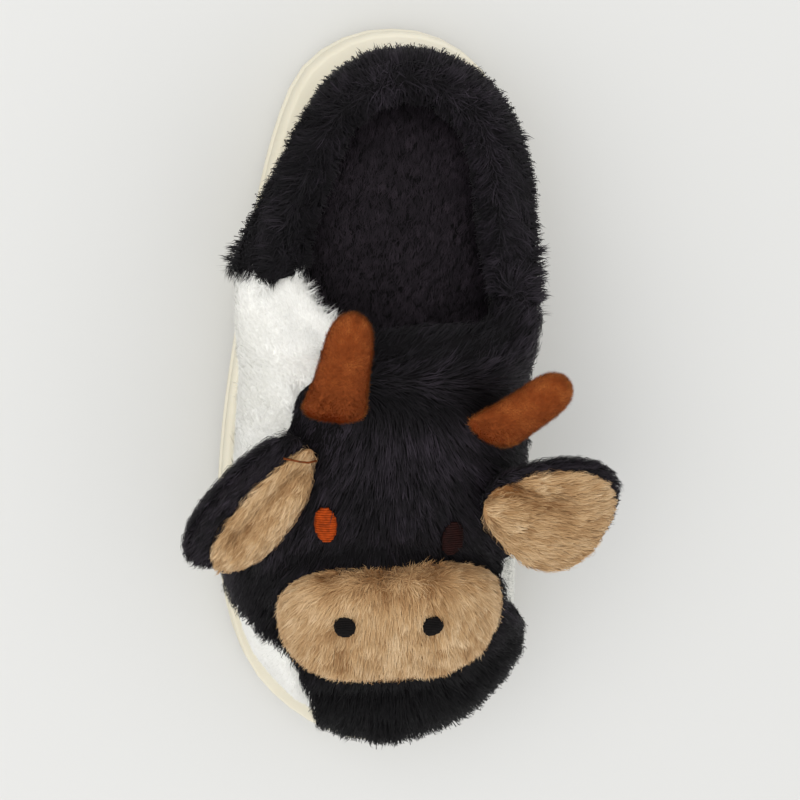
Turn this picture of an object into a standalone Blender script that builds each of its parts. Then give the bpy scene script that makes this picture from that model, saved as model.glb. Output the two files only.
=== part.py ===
# Plush cow slipper for the right foot: a moulded sole, a padded mule upper with patches of long black pile,
# and a stuffed muzzle, two ears and two velvet horns sewn on the vamp.
# Metres. The toe points to -Y, the heel to +Y and the outer side to -X. The origin is on the floor under the heel.

import functools
import math

import bmesh
import bpy
import numpy as np
from mathutils import Vector
from mathutils.bvhtree import BVHTree

# Sole
SOLE_LENGTH = 0.270
BALL_WIDTH = 0.112
HEEL_SEAT = 0.044  # from the origin to the back of the heel
HEEL_THICKNESS = 0.029
BALL_THICKNESS = 0.022
TOE_THICKNESS = 0.018
ARCH_RISE = 0.004
TOE_SPRING = 0.008
HEEL_ROUND = 0.003
SOLE_FLARE = 0.0045
GROOVE_WIDTH = 0.0030
GROOVE_DEPTH = 0.0022
GROOVE_PITCH = 0.0150
GROOVE_CHEVRON = 0.007

# Upper
GAP = 0.0003  # between pieces that lie on each other
PAD_GAP = 0.0008  # under the small pieces sewn on the pile
SETBACK = 0.005  # from the edge of the sole to the wall of the upper
WALL = 0.007
COLLAR_WALL = 0.013
FOOT_SHARE = 0.72  # of the wall's thickness, what is left where it meets the sole
COLLAR_HEIGHT = 0.057
THROAT_HEIGHT = 0.077
VAMP_HEIGHT = 0.080
BULGE = 0.0075
FULLNESS = 2.4
PILE = 0.0036
TOE_PILE = 0.0052
TUFT = 0.0007
PILE_SEAM = 0.0035  # between two panels, as a share of the way from toe to heel
THINNEST_PILE = 0.0012
LIFT_STEP = 0.0002
LIFT_ROUNDS = 20

# Insole
INSOLE_THICKNESS = 0.008
INSOLE_EDGE = 0.003
INSOLE_FIT = 0.0010

# Muzzle, eyes and nostrils
MUZZLE_WIDTH = 0.080
MUZZLE_HEIGHT = 0.049
MUZZLE_CROWN = 0.013
MUZZLE_PLACE = (0.749, -0.0625)  # along and across, like the outline
MUZZLE_TILT = 22.0
EYE_WIDTH = 0.0080
EYE_HEIGHT = 0.0132
EYE_THICKNESS = 0.0014
EYE_PLACES = {"eye_left": (0.616, -0.270), "eye_right": (0.640, 0.118)}
NOSTRIL_SIZE = 0.0076
NOSTRIL_THICKNESS = 0.0016
NOSTRIL_PLACES = {"nostril_left": (0.747, -0.220), "nostril_right": (0.750, 0.052)}

# Ears
EAR_LENGTH = 0.052
EAR_WIDTH = 0.050
EAR_FACE = 0.0050
EAR_BACK = 0.0090
EAR_CUP = 0.005

# Horns
HORN_WIDTH = 0.0185
HORN_THICKNESS = 0.0140

# Mesh fineness
SOLE_COLUMNS = 36
WALL_COLUMNS = 32
WALL_ROWS = 8
FUR_COLUMNS = 48
FUR_ROWS = 9
ROLL_ROWS = 3
FRONT_SHARE = 0.5625  # of the columns from toe to heel, those that run up to the ridge of the vamp

# Where sizes change, as shares of the way from the back of the heel to the toe
ARCH_RISING = (0.33, 0.42)
ARCH_FALLING = (0.50, 0.60)
TOE_START = 0.80
HEEL_END = 0.05
SOLE_THINNING = (0.20, 0.66)  # from the heel's thickness to the ball's
PILE_GROWING = (0.76, 0.86)  # from the pile's depth to the toe's

# The sole's outline, seen from above and walked from the toe along the outer side, the heel and the inner side.
# Along is a share of the sole's length from the back of the heel, across a share of the ball's width.
OUTLINE_ROWS = (
    # place               along   across
    ("toe tip", 1.000, -0.085),
    ("toe, outer", 0.976, -0.272),
    ("little toe", 0.918, -0.447),
    ("forefoot, outer", 0.856, -0.536),
    ("ball, outer", 0.735, -0.592),
    ("shank, outer", 0.561, -0.577),
    ("waist, outer", 0.364, -0.504),
    ("heel, outer", 0.141, -0.389),
    ("heel curve, outer", 0.050, -0.288),
    ("heel corner, outer", 0.010, -0.145),
    ("heel back", 0.000, 0.001),
    ("heel corner, inner", 0.010, 0.145),
    ("heel curve, inner", 0.050, 0.288),
    ("heel, inner", 0.141, 0.385),
    ("waist, inner", 0.330, 0.412),
    ("shank, inner", 0.520, 0.402),
    ("ball, inner", 0.740, 0.420),
    ("big toe joint", 0.828, 0.405),
    ("big toe", 0.900, 0.330),
    ("toe, inner", 0.968, 0.150),
)
HEEL_ROW = 10

# The sole's side, from the tread up. Rise is a share of the thickness, inset a share of the flare.
SIDE_ROWS = (
    # place         rise   inset
    ("tread edge", 0.00, 1.00),
    ("tread round", 0.10, 0.25),
    ("flare", 0.24, 0.00),
    ("groove foot", 0.42, 0.12),
    ("groove", 0.47, 0.42),
    ("groove head", 0.52, 0.16),
    ("side", 0.88, 0.40),
    ("top edge", 1.00, 0.70),
)

# The insole's side, from the sole up. Rise is a share of its thickness, inset a share of its rounded edge.
INSOLE_ROWS = (
    # place         rise   inset
    ("foot", 0.00, 0.00),
    ("side", 0.55, 0.00),
    ("shoulder", 0.86, 0.40),
    ("top", 1.00, 1.00),
)

# The crest of the opening's rim. Height is a share of the way from the collar's height to the throat's.
# Lean turns the wall from upright at the collar, 0 degrees, to lying at the throat, 90 degrees.
RIM_ROWS = (
    # place                along   across  height  lean
    ("throat middle", 0.375, 0.045, 1.00, 80.0),
    ("throat, outer", 0.378, -0.130, 0.88, 74.0),
    ("corner, outer", 0.355, -0.262, 0.58, 56.0),
    ("shoulder, outer", 0.312, -0.350, 0.28, 34.0),
    ("side, outer", 0.255, -0.362, 0.06, 16.0),
    ("heel side, outer", 0.190, -0.304, 0.00, 10.0),
    ("heel curve, outer", 0.106, -0.202, 0.00, 8.0),
    ("heel middle", 0.063, 0.004, 0.00, 8.0),
    ("heel curve, inner", 0.103, 0.192, 0.00, 8.0),
    ("heel side, inner", 0.190, 0.284, 0.00, 10.0),
    ("side, inner", 0.265, 0.302, 0.06, 16.0),
    ("shoulder, inner", 0.330, 0.306, 0.28, 34.0),
    ("corner, inner", 0.372, 0.255, 0.62, 58.0),
)
RIM_HEEL_ROW = 7

# The ridge of the vamp from the toe to the throat. Height is a share of the vamp's height.
RIDGE_ROWS = (
    # place       along   across  height
    ("toe end", 0.900, -0.080, 0.580),
    ("muzzle", 0.800, -0.072, 0.715),
    ("brow", 0.680, -0.060, 0.850),
    ("forehead", 0.560, -0.020, 0.955),
    ("crown", 0.460, 0.020, 1.000),
)

# Behind the throat, how far along the sole's edge the foot of the wall has come when the rim has come so far.
WALK_ROWS = (
    # rim   foot
    (0.00, 0.000),
    (0.10, 0.030),
    (0.20, 0.085),
    (0.30, 0.180),
    (1.00, 1.000),
)

# How thick the wall is padded at the rim: 0 is the vamp's wall, 1 the collar's.
PADDING_ROWS = (
    # along  padding
    (0.00, 0.30),
    (0.08, 0.40),
    (0.17, 1.00),
    (0.27, 1.00),
    (0.345, 0.50),
    (0.42, 0.00),
)

# How far the padded wall swells outwards, as a share of the bulge.
BULGE_ROWS = (
    # along  outer  inner
    (0.00, 0.15, 0.15),
    (0.14, 0.15, 0.15),
    (0.20, 0.50, 0.20),
    (0.25, 0.92, 0.20),
    (0.31, 1.36, 0.20),
    (0.36, 1.60, 0.30),
    (0.42, 1.35, 0.45),
    (0.55, 0.45, 0.50),
    (0.72, 0.20, 0.45),
    (0.78, 0.20, 0.50),
    (0.83, 0.30, 0.90),
    (0.90, 0.30, 0.80),
    (1.00, 0.20, 0.20),
)

# How far the wall stands in from the sole's edge, as a share of the setback.
SETBACK_ROWS = (
    # along  outer  inner
    (0.00, 2.40, 2.40),
    (0.05, 2.55, 1.90),
    (0.12, 2.45, 1.30),
    (0.20, 1.85, 1.10),
    (0.29, 1.00, 1.10),
    (0.42, 1.00, 1.00),
    (0.80, 1.00, 1.00),
    (0.95, 2.05, 2.05),
    (1.00, 3.00, 3.00),
)

# The lower edge of the black head panel. Station is the share of the way from toe to heel along the sole's edge,
# edge the share of the way up the wall where the black pile starts. White shows below a raised edge.
HEAD_EDGE_OUTER = (
    # station  edge
    (0.000, 0.03),
    (0.073, 0.03),
    (0.087, 0.30),
    (0.109, 0.48),
    (0.153, 0.62),
    (0.217, 0.64),
    (0.239, 0.60),
    (0.261, 0.50),
    (0.285, 0.22),
    (0.306, 0.03),
    (0.423, 0.03),
    (0.458, 0.35),
    (0.479, 0.52),
    (0.500, 0.60),
    (0.545, 0.63),
    (0.565, 0.76),
    (0.583, 0.82),
    (0.604, 0.86),
    (0.660, 0.90),
)
HEAD_EDGE_INNER = (
    # station  edge
    (0.000, 0.03),
    (0.250, 0.03),
    (0.299, 0.52),
    (0.376, 0.52),
    (0.439, 0.03),
    (0.700, 0.03),
)
HEAD_END_OUTER = 0.646  # where the head panel ends on the rim, as a station
HEAD_END_INNER = 0.676
COLLAR_END_OUTER = 0.706

# How much nearer the heel that end of the collar panel is than at the sole, up the wall.
COLLAR_SLANT = (
    # way  station
    (0.0, 0.000),
    (0.3, 0.006),
    (0.6, 0.018),
    (0.85, 0.032),
    (1.0, 0.024),
)
STRAIGHT = ((0.0, 0.0), (1.0, 0.0))
SLANT_COLUMNS = 4

# How far each panel's pile turns in over the rim: 2 is the inner edge, 3 the foot of the wall.
HEAD_INSIDE = 2.12
COLLAR_INSIDE = 2.74

# The ears: from root to tip (along, across and a share of the vamp's height), how far its length is drawn out, the
# way the face turns, how much of its width a pleat at the root leaves, the share of that which the tan face takes
# and how far the face lies off the middle. They then slide down to rest on the pile.
EARS = {
    "ear_left": {
        "root": (0.487, -0.345, 0.850),
        "tip": (0.661, -0.714, 0.650),
        "stretch": 1.16,
        "face_to": (0.44, -0.365, 0.82),
        "pleat": 0.80,
        "face_width": 0.62,
        "face_shift": 0.16,
    },
    "ear_right": {
        "root": (0.578, 0.201, 0.875),
        "tip": (0.637, 0.674, 0.725),
        "stretch": 1.00,
        "face_to": (0.10, -0.30, 1.00),
        "pleat": 1.00,
        "face_width": 0.88,
        "face_shift": 0.04,
    },
}
EAR_DROOP = 0.004

# The horns: stops from root to tip, like the ears' places, and the way each is flattened across.
HORNS = {
    "horn_left": {
        "stops": (
            (0.470, -0.254, 1.040),
            (0.440, -0.246, 1.150),
            (0.385, -0.223, 1.225),
            (0.330, -0.201, 1.262),
        ),
        "flat": (1.0, -0.1, 0.0),
    },
    "horn_right": {
        "stops": (
            (0.503, 0.214, 0.988),
            (0.478, 0.286, 1.075),
            (0.451, 0.361, 1.137),
            (0.422, 0.441, 1.162),
        ),
        "flat": (-0.4, 0.7, 0.6),
    },
}

# The horn's width and thickness along its length, as shares of its full width and thickness.
HORN_ROWS = (
    # along  width  thickness
    (0.00, 1.22, 0.62),
    (0.14, 1.16, 0.74),
    (0.34, 1.02, 0.92),
    (0.56, 0.92, 1.00),
    (0.76, 0.88, 1.02),
    (0.90, 0.70, 0.82),
    (0.97, 0.38, 0.46),
)


def clear_scene():
    for thing in list(bpy.data.objects):
        bpy.data.objects.remove(thing)


def material(name, color, roughness, metallic=0.0):
    made = bpy.data.materials.new(name)
    made.use_nodes = True
    shader = made.node_tree.nodes["Principled BSDF"]
    shader.inputs["Base Color"].default_value = (*color, 1.0)
    shader.inputs["Roughness"].default_value = roughness
    shader.inputs["Metallic"].default_value = metallic
    return made


def add_object(name, points, faces, finish):
    """A closed mesh with its normals out and its round sides smooth."""
    mesh = bpy.data.meshes.new(name)
    shape = bmesh.new()
    corners = [shape.verts.new(point) for point in points]
    for face in faces:
        shape.faces.new([corners[index] for index in face])
    bmesh.ops.recalc_face_normals(shape, faces=shape.faces)
    if shape.calc_volume(signed=True) < 0:
        bmesh.ops.reverse_faces(shape, faces=shape.faces)
    shape.to_mesh(mesh)
    shape.free()
    mesh.shade_smooth()
    mesh.set_sharp_from_angle(angle=math.radians(50))
    mesh.materials.append(finish)
    made = bpy.data.objects.new(name, mesh)
    bpy.context.scene.collection.objects.link(made)
    return made


# Smooth lines through rows of numbers


class Track:
    """A smooth line through rows of numbers, walked by its length as seen from above."""

    STEPS = 14

    def __init__(self, rows):
        rows = np.array(rows, float)
        ends = np.vstack([2 * rows[0] - rows[1], rows, 2 * rows[-1] - rows[-2]])
        self.build(ends)

    def build(self, rows):
        dense = [rows[1]]
        for index in range(1, len(rows) - 2):
            for step in range(1, self.STEPS + 1):
                dense.append(self.between(rows[index - 1 : index + 3], step / self.STEPS))
        self.points = np.array(dense)
        strides = np.linalg.norm(np.diff(self.points[:, :2], axis=0), axis=1)
        self.walked = np.concatenate([[0.0], np.cumsum(strides)])

    @staticmethod
    def between(four, share):
        """A point between the middle two of four rows, on a centripetal Catmull-Rom curve."""
        knots = [0.0]
        for first, second in zip(four, four[1:]):
            knots.append(knots[-1] + max(np.linalg.norm(second[:2] - first[:2]), 1e-6) ** 0.5)
        at = knots[1] + (knots[2] - knots[1]) * share
        level = list(four)
        for reach in (1, 2, 3):
            pairs = range(len(level) - 1)
            if reach < 3:
                spans = [(knots[i], knots[i + reach]) for i in pairs]
            else:
                spans = [(knots[1], knots[2])]
            level = [
                (level[i] * (high - at) + level[i + 1] * (at - low)) / (high - low)
                for i, (low, high) in enumerate(spans)
            ]
        return level[0]

    def at(self, share):
        reach = np.clip(share, 0.0, 1.0) * self.walked[-1]
        return np.array([np.interp(reach, self.walked, column) for column in self.points.T])

    def share_where(self, column, value):
        """The share of the length where that column first passes the value."""
        series = self.points[:, column]
        passed = np.nonzero(np.diff(np.sign(series - value)))[0]
        return self.walked[passed[0]] / self.walked[-1]


class LoopTrack(Track):
    """Part of a closed loop of rows, with the rows next to it giving its ends their direction."""

    def __init__(self, rows, first, last):
        rows = np.array(rows, float)
        count = len(rows)
        self.build(np.array([rows[index % count] for index in range(first - 1, last + 2)]))


def place(along, across):
    return across * BALL_WIDTH, HEEL_SEAT - along * SOLE_LENGTH


def along_of(y):
    return (HEEL_SEAT - y) / SOLE_LENGTH


def on_vamp(along, across, height):
    """A place over the sole whose height is a share of the vamp's height."""
    return Vector((*place(along, across), VAMP_HEIGHT * height))


def outline_tracks():
    """The sole's outline from the toe tip to the heel back, on the outer side, -1, and the inner side, 1."""
    points = [place(along, across) for _, along, across in OUTLINE_ROWS]
    outer = LoopTrack(points, 0, HEEL_ROW)
    inner = LoopTrack(points[:1] + points[:0:-1], 0, len(points) - HEEL_ROW)
    return {-1: outer, 1: inner}


OUTLINE = outline_tracks()


def outline_point(side, station, inset):
    """A point on the sole's outline, moved in, and the way out from there, both flat."""
    step = 0.004
    point = OUTLINE[side].at(station)
    ahead = OUTLINE[side].at(station + step) if station < 1 - step else None
    behind = OUTLINE[side].at(station - step) if station > step else None
    if ahead is None:
        ahead = OUTLINE[-side].at(1 - step)
    if behind is None:
        behind = OUTLINE[-side].at(step)
    run = ahead - behind
    out = np.array([run[1], -run[0]]) * side
    out /= np.linalg.norm(out)
    return point - out * inset, out


def smooth_step(value, low, high):
    share = min(max((value - low) / (high - low), 0.0), 1.0)
    return share * share * (3 - 2 * share)


def row_share(rows, side, y):
    """A share read from rows with one column for the outer side and one for the inner side."""
    alongs, outer, inner = zip(*rows)
    return float(np.interp(along_of(y), alongs, outer if side < 0 else inner))


def setback_at(side, y):
    return SETBACK * row_share(SETBACK_ROWS, side, y)


def wall_at(y):
    """The padding is thickest at the sides of the collar."""
    return WALL + (COLLAR_WALL - WALL) * float(np.interp(along_of(y), *zip(*PADDING_ROWS)))


def toe_lift(along):
    """How far the toe end has turned up, from 0 where it starts to 1 at the tip."""
    return max(0.0, (along - TOE_START) / (1 - TOE_START)) ** 2


def tread_height(y):
    """The underside of the sole: flat under heel and ball, raised at the arch and the toe."""
    along = along_of(y)
    arch = smooth_step(along, *ARCH_RISING) * (1 - smooth_step(along, *ARCH_FALLING))
    heel = max(0.0, 1 - along / HEEL_END) ** 2
    return ARCH_RISE * arch + TOE_SPRING * toe_lift(along) + HEEL_ROUND * heel


def top_height(y):
    """The top of the sole, which carries the insole and the upper."""
    along = along_of(y)
    drop = (HEEL_THICKNESS - BALL_THICKNESS) * smooth_step(along, *SOLE_THINNING)
    return HEEL_THICKNESS - drop + (TOE_SPRING + TOE_THICKNESS - BALL_THICKNESS) * toe_lift(along)


# Sole and insole


def stacked_rings(levels, columns):
    """A closed body from rings with the same columns, one above the other, capped by strips across."""
    points = [point for ring in levels for point in ring]
    count = 2 * columns
    faces = []
    for level in range(len(levels) - 1):
        for index in range(count):
            after = (index + 1) % count
            low = level * count
            high = low + count
            faces.append((low + index, low + after, high + after, high + index))
    for start in (0, (len(levels) - 1) * count):
        for index in range(columns):
            left, right = index, (count - index) % count
            next_left, next_right = index + 1, count - index - 1
            corners = [start + left, start + next_left, start + next_right, start + right]
            faces.append(tuple(dict.fromkeys(corners)))
    return points, faces


def ring(columns, inset, height):
    """The outline moved in, walked round once from the toe tip. Inset is a function of side and y, height of y."""
    stops = [(-1, index / columns) for index in range(columns)]
    stops += [(1, 1 - index / columns) for index in range(columns)]
    made = []
    for side, station in stops:
        edge = outline_point(side, station, 0.0)[0]
        (x, y), _ = outline_point(side, station, inset(side, edge[1]))
        made.append((x, y, height(y)))
    return made


def sole():
    levels = []
    for _, rise, inset in SIDE_ROWS:

        def height(y, rise=rise):
            return tread_height(y) + (top_height(y) - tread_height(y)) * rise

        def setin(side, y, inset=inset):
            return SOLE_FLARE * inset

        levels.append(ring(SOLE_COLUMNS, setin, height))
    points, faces = stacked_rings(levels, SOLE_COLUMNS)
    made = add_object("outsole", points, faces, material("sole_foam", (0.80, 0.76, 0.62), 0.55))
    cut = made.modifiers.new("tread", "BOOLEAN")
    cut.operation = "DIFFERENCE"
    cut.solver = "EXACT"
    cut.object = tread_cutter()
    return made


def tread_cutter():
    """Chevron bars across the ball and the heel that leave the main lugs standing between them."""
    points, faces = [], []
    low, high = -2 * GROOVE_DEPTH, GROOVE_DEPTH
    for first, last in ((0.60, 0.86), (0.055, 0.31)):
        start, end = place(last, 0)[1], place(first, 0)[1]
        count = int((end - start) / GROOVE_PITCH)
        for index in range(count + 1):
            y = start + index * GROOVE_PITCH
            floor = tread_height(y)
            bends = ((-BALL_WIDTH, y + GROOVE_CHEVRON * 2), (0.0, y), (BALL_WIDTH, y + GROOVE_CHEVRON * 2))
            corner = len(points)
            for x, middle in bends:
                for side, level in ((-1, low), (1, low), (1, high), (-1, high)):
                    points.append((x, middle + side * GROOVE_WIDTH / 2, floor + level))
            for bay in (0, 4):
                for edge in range(4):
                    after = (edge + 1) % 4
                    near, far = corner + bay, corner + bay + 4
                    faces.append((near + edge, near + after, far + after, far + edge))
            faces.append(tuple(corner + edge for edge in (3, 2, 1, 0)))
            faces.append(tuple(corner + 8 + edge for edge in range(4)))
    cutter = add_object("tread_cutter", points, faces, material("cutter", (1.0, 0.2, 0.2), 0.5))
    cutter.hide_render = True
    cutter.display_type = "WIRE"
    return cutter


def insole():
    levels = []
    for _, rise, inset in INSOLE_ROWS:

        def height(y, rise=rise):
            return top_height(y) + GAP + INSOLE_THICKNESS * rise

        def setin(side, y, inset=inset):
            return setback_at(side, y) + wall_at(y) * FOOT_SHARE + INSOLE_FIT + INSOLE_EDGE * inset

        levels.append(ring(SOLE_COLUMNS, setin, height))
    points, faces = stacked_rings(levels, SOLE_COLUMNS)
    add_object("insole", points, faces, material("footbed_plush", (0.016, 0.013, 0.016), 0.95))


# The wall of the upper, as a function of place


def rim_tracks():
    """The crest of the rim from the throat middle to the heel middle, with the lean in the fourth column."""
    rows = []
    for _, along, across, height, lean in RIM_ROWS:
        level = COLLAR_HEIGHT + (THROAT_HEIGHT - COLLAR_HEIGHT) * height
        rows.append((*place(along, across), level, lean))
    outer = LoopTrack(rows, 0, RIM_HEEL_ROW)
    inner = LoopTrack(rows[:1] + rows[:0:-1], 0, len(rows) - RIM_HEEL_ROW)
    return {-1: outer, 1: inner}


RIM = rim_tracks()


def rim_frame(side, share):
    """The outer top edge of the wall at the rim, the way off its face and the way its edge points."""
    step = 0.01
    crest = RIM[side].at(share)
    ahead = RIM[side].at(share + step) if share < 1 - step else RIM[-side].at(1 - step)
    behind = RIM[side].at(share - step) if share > step else RIM[-side].at(step)
    run = (ahead - behind)[:3]
    run[2] = 0.0
    out = np.array([run[1], -run[0], 0.0]) * side
    out /= np.linalg.norm(out)
    lean = math.radians(crest[3])
    up = np.array([0.0, 0.0, 1.0])
    off = out * math.cos(lean) + up * math.sin(lean)
    edge = up * math.cos(lean) - out * math.sin(lean)
    thick = wall_at(crest[1])
    top = crest[:3] - edge * thick / 2 + off * thick / 2
    return top, off, edge


THROAT_TOP, THROAT_OFF, THROAT_EDGE = rim_frame(-1, 0.0)


def ridge_track():
    rows = []
    for _, along, across, height in RIDGE_ROWS:
        rows.append((*place(along, across), VAMP_HEIGHT * height))
    return Track([*rows, tuple(THROAT_TOP)])


RIDGE = ridge_track()
RIDGE_PACE = 1.7  # the ridge is walked slowly near the toe, where the wall turns round it


def wall_foot(side, share):
    edge = outline_point(side, share, 0.0)[0]
    return outline_point(side, share, setback_at(side, edge[1]))


@functools.cache
def column(side, station):
    """All that the wall follows at one station between the toe tip, 0, and the heel back, 1."""
    base_share = SIDE_SHARE[side]
    if station <= FRONT_SHARE:
        front = station / FRONT_SHARE
        (x, y), out = wall_foot(side, base_share * front)
        share = front**RIDGE_PACE
        top = RIDGE.at(share)
        run = RIDGE.at(min(share + 0.02, 1.0)) - RIDGE.at(max(share - 0.02, 0.0))
        run /= np.linalg.norm(run)
        off = np.array([0.0, -run[2], abs(run[1])])
        off /= np.linalg.norm(off)
        edge = THROAT_EDGE
        if front == 1.0:
            top, off = THROAT_TOP, THROAT_OFF
    else:
        rear = (station - FRONT_SHARE) / (1 - FRONT_SHARE)
        walked = float(np.interp(rear, *zip(*WALK_ROWS)))
        (x, y), out = wall_foot(side, base_share + (1 - base_share) * walked)
        top, off, edge = rim_frame(side, rear)
    return {
        "base": np.array([x, y, top_height(y) + GAP]),
        "out": np.array([*out, 0.0]),
        "top": top,
        "off": off,
        "edge": edge,
        "swell": BULGE * row_share(BULGE_ROWS, side, y),
        "wall": wall_at(y) if station > FRONT_SHARE else wall_at(top[1]),
    }


THROAT_LINE = 0.435  # along, where the wall under the throat meets the sole
SIDE_SHARE = {side: OUTLINE[side].share_where(1, place(THROAT_LINE, 0)[1]) for side in (-1, 1)}


def arch(low, high, out, swell, share):
    """A rounded rise from the foot of the wall to its top."""
    angle = share * math.pi / 2
    power = 2 / FULLNESS
    across = 1 - max(math.cos(angle), 0.0) ** power
    rise = max(math.sin(angle), 0.0) ** power
    point = low + (high - low) * np.array([across, across, rise])
    return point + out * swell * math.sin(math.pi * share)


def wall_point(here, way, lift):
    """A point on the wall, lifted off it. Way is 0 at the sole, 1 at the top, 2 inside the rim, 3 at the insole."""
    if way <= 1:
        low = here["base"] + here["out"] * lift
        high = here["top"] + here["off"] * lift
        return arch(low, high, here["out"], here["swell"], way)
    if way <= 2:
        angle = (way - 1) * math.pi
        middle = here["top"] - here["off"] * here["wall"] / 2
        spoke = here["off"] * math.cos(angle) + here["edge"] * math.sin(angle)
        return middle + spoke * (here["wall"] / 2 + lift)
    low = here["base"] - here["out"] * (here["wall"] * FOOT_SHARE + lift)
    high = here["top"] - here["off"] * (here["wall"] + lift)
    return arch(low, high, here["out"], here["swell"], 3 - way)


def corner_name(side, col, row, last, front, tops):
    """A corner's name. The two sides share the toe, the heel, the ridge and the middle of the throat."""
    outer_top, inner_top = tops
    shared = col in (0, last)
    shared = shared or (row in tops and col <= front)
    shared = shared or (outer_top < row < inner_top and col == front)
    return (0 if shared else side, col, row)


def upper():
    """One hollow wall: closed over the forefoot, open at the collar and underneath."""
    front = round(FRONT_SHARE * WALL_COLUMNS)
    tops = (WALL_ROWS, WALL_ROWS + ROLL_ROWS + 1)
    ways = [row / WALL_ROWS for row in range(WALL_ROWS + 1)]
    ways += [1 + row / (ROLL_ROWS + 1) for row in range(1, ROLL_ROWS + 1)]
    ways += [2 + row / WALL_ROWS for row in range(WALL_ROWS + 1)]
    last_row = len(ways) - 1
    points, numbers, faces = [], {}, []

    def add_face(side, corners):
        loop = []
        for col, row in corners:
            name = corner_name(side, col, row, WALL_COLUMNS, front, tops)
            if name not in numbers:
                numbers[name] = len(points)
                points.append(wall_point(stations[side][col], ways[row], 0.0))
            loop.append(numbers[name])
        faces.append(tuple(dict.fromkeys(loop)))

    stations = {
        side: [column(side, col / WALL_COLUMNS) for col in range(WALL_COLUMNS + 1)] for side in (-1, 1)
    }
    for side in (-1, 1):
        for col in range(WALL_COLUMNS):
            add_face(side, ((col, 0), (col + 1, 0), (col + 1, last_row), (col, last_row)))
            for row in range(last_row):
                if col >= front or not tops[0] <= row < tops[1]:
                    add_face(side, ((col, row), (col + 1, row), (col + 1, row + 1), (col, row + 1)))
    return add_object("upper", points, faces, material("white_plush", (0.80, 0.79, 0.74), 0.9))


# Pile that lies on the wall


def tuft(col, row):
    """Locks of pile: a lift that changes from one lock to the next."""
    return TUFT * math.sin(col * 2.4 + row * 1.1) * math.sin(row * 2.1 - col * 0.7)


def pile_depth(here, way):
    """The pile is longest at the toe and thins towards the sole."""
    at_toe = smooth_step(along_of(here["base"][1]), *PILE_GROWING) * (1 - smooth_step(way, 0.55, 0.95))
    return PILE + (TOE_PILE - PILE) * at_toe


def bow(side, first, second):
    """How far the wall bows out over a straight line between two places on it, each a station and a way."""
    middle = [(low + high) / 2 for low, high in zip(first, second)]
    here = column(side, middle[0])
    surface = wall_point(here, middle[1], 0.0)
    out = wall_point(here, middle[1], GAP) - surface
    ends = [wall_point(column(side, station), way, 0.0) for station, way in (first, second)]
    return max(0.0, float((surface - (ends[0] + ends[1]) / 2) @ out) / np.linalg.norm(out))


def lift_clear(carrier, loops, pairs):
    """Lifts the inner skin, corner by corner, where its flat faces would cut into the carrier."""
    triangles = [[loop[1], loop[index], loop[index - 1]] for loop in loops for index in range(3, len(loop))]
    triangles += [[loop[0], loop[1], loop[-1]] for loop in loops]
    for _ in range(LIFT_ROUNDS):
        below = [low - (high - low).normalized() * GAP / 2 for low, high in pairs]
        crossing = BVHTree.FromPolygons(below, triangles).overlap(carrier)
        if not crossing:
            return
        for corner in {corner for face, _ in crossing for corner in triangles[face]}:
            low, high = pairs[corner]
            off = (high - low).normalized()
            low = low + off * LIFT_STEP
            pairs[corner] = (low, max(high, low + off * THINNEST_PILE, key=off.dot))


def shell(name, cells, spot, finish, carrier=None):
    """A panel of pile between two skins. A cell is a list of corner names, spot gives a name's two points."""
    numbers = {}
    for cell in cells:
        for corner in cell:
            numbers.setdefault(corner, len(numbers))
    count = len(numbers)
    pairs = [(Vector(low), Vector(high)) for low, high in map(spot, numbers)]
    if carrier:
        loops = [list(dict.fromkeys(numbers[corner] for corner in cell)) for cell in cells]
        lift_clear(carrier, [loop for loop in loops if len(loop) > 2], pairs)
    points = [outer for _, outer in pairs] + [inner for inner, _ in pairs]
    faces, edges = [], {}
    for cell in cells:
        loop = list(dict.fromkeys(numbers[corner] for corner in cell))
        if len(loop) < 3:
            continue
        faces.append(tuple(loop))
        faces.append(tuple(count + index for index in reversed(loop)))
        for first, second in zip(loop, loop[1:] + loop[:1]):
            key = (min(first, second), max(first, second))
            edges[key] = None if key in edges else (first, second)
    for pair in edges.values():
        if pair:
            first, second = pair
            faces.append((second, first, count + first, count + second))
    return add_object(name, points, faces, finish)


def fur_ways(low, inside):
    """The rows of a panel from its lower edge up to the ridge, and over the rim where it wraps."""
    ways = [low + (1 - low) * row / FUR_ROWS for row in range(FUR_ROWS + 1)]
    if inside:
        ways += [1 + row / (ROLL_ROWS + 1) for row in range(1, ROLL_ROWS + 1)]
        ways += [2.0, (2 + inside) / 2, inside]
    return ways


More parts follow.
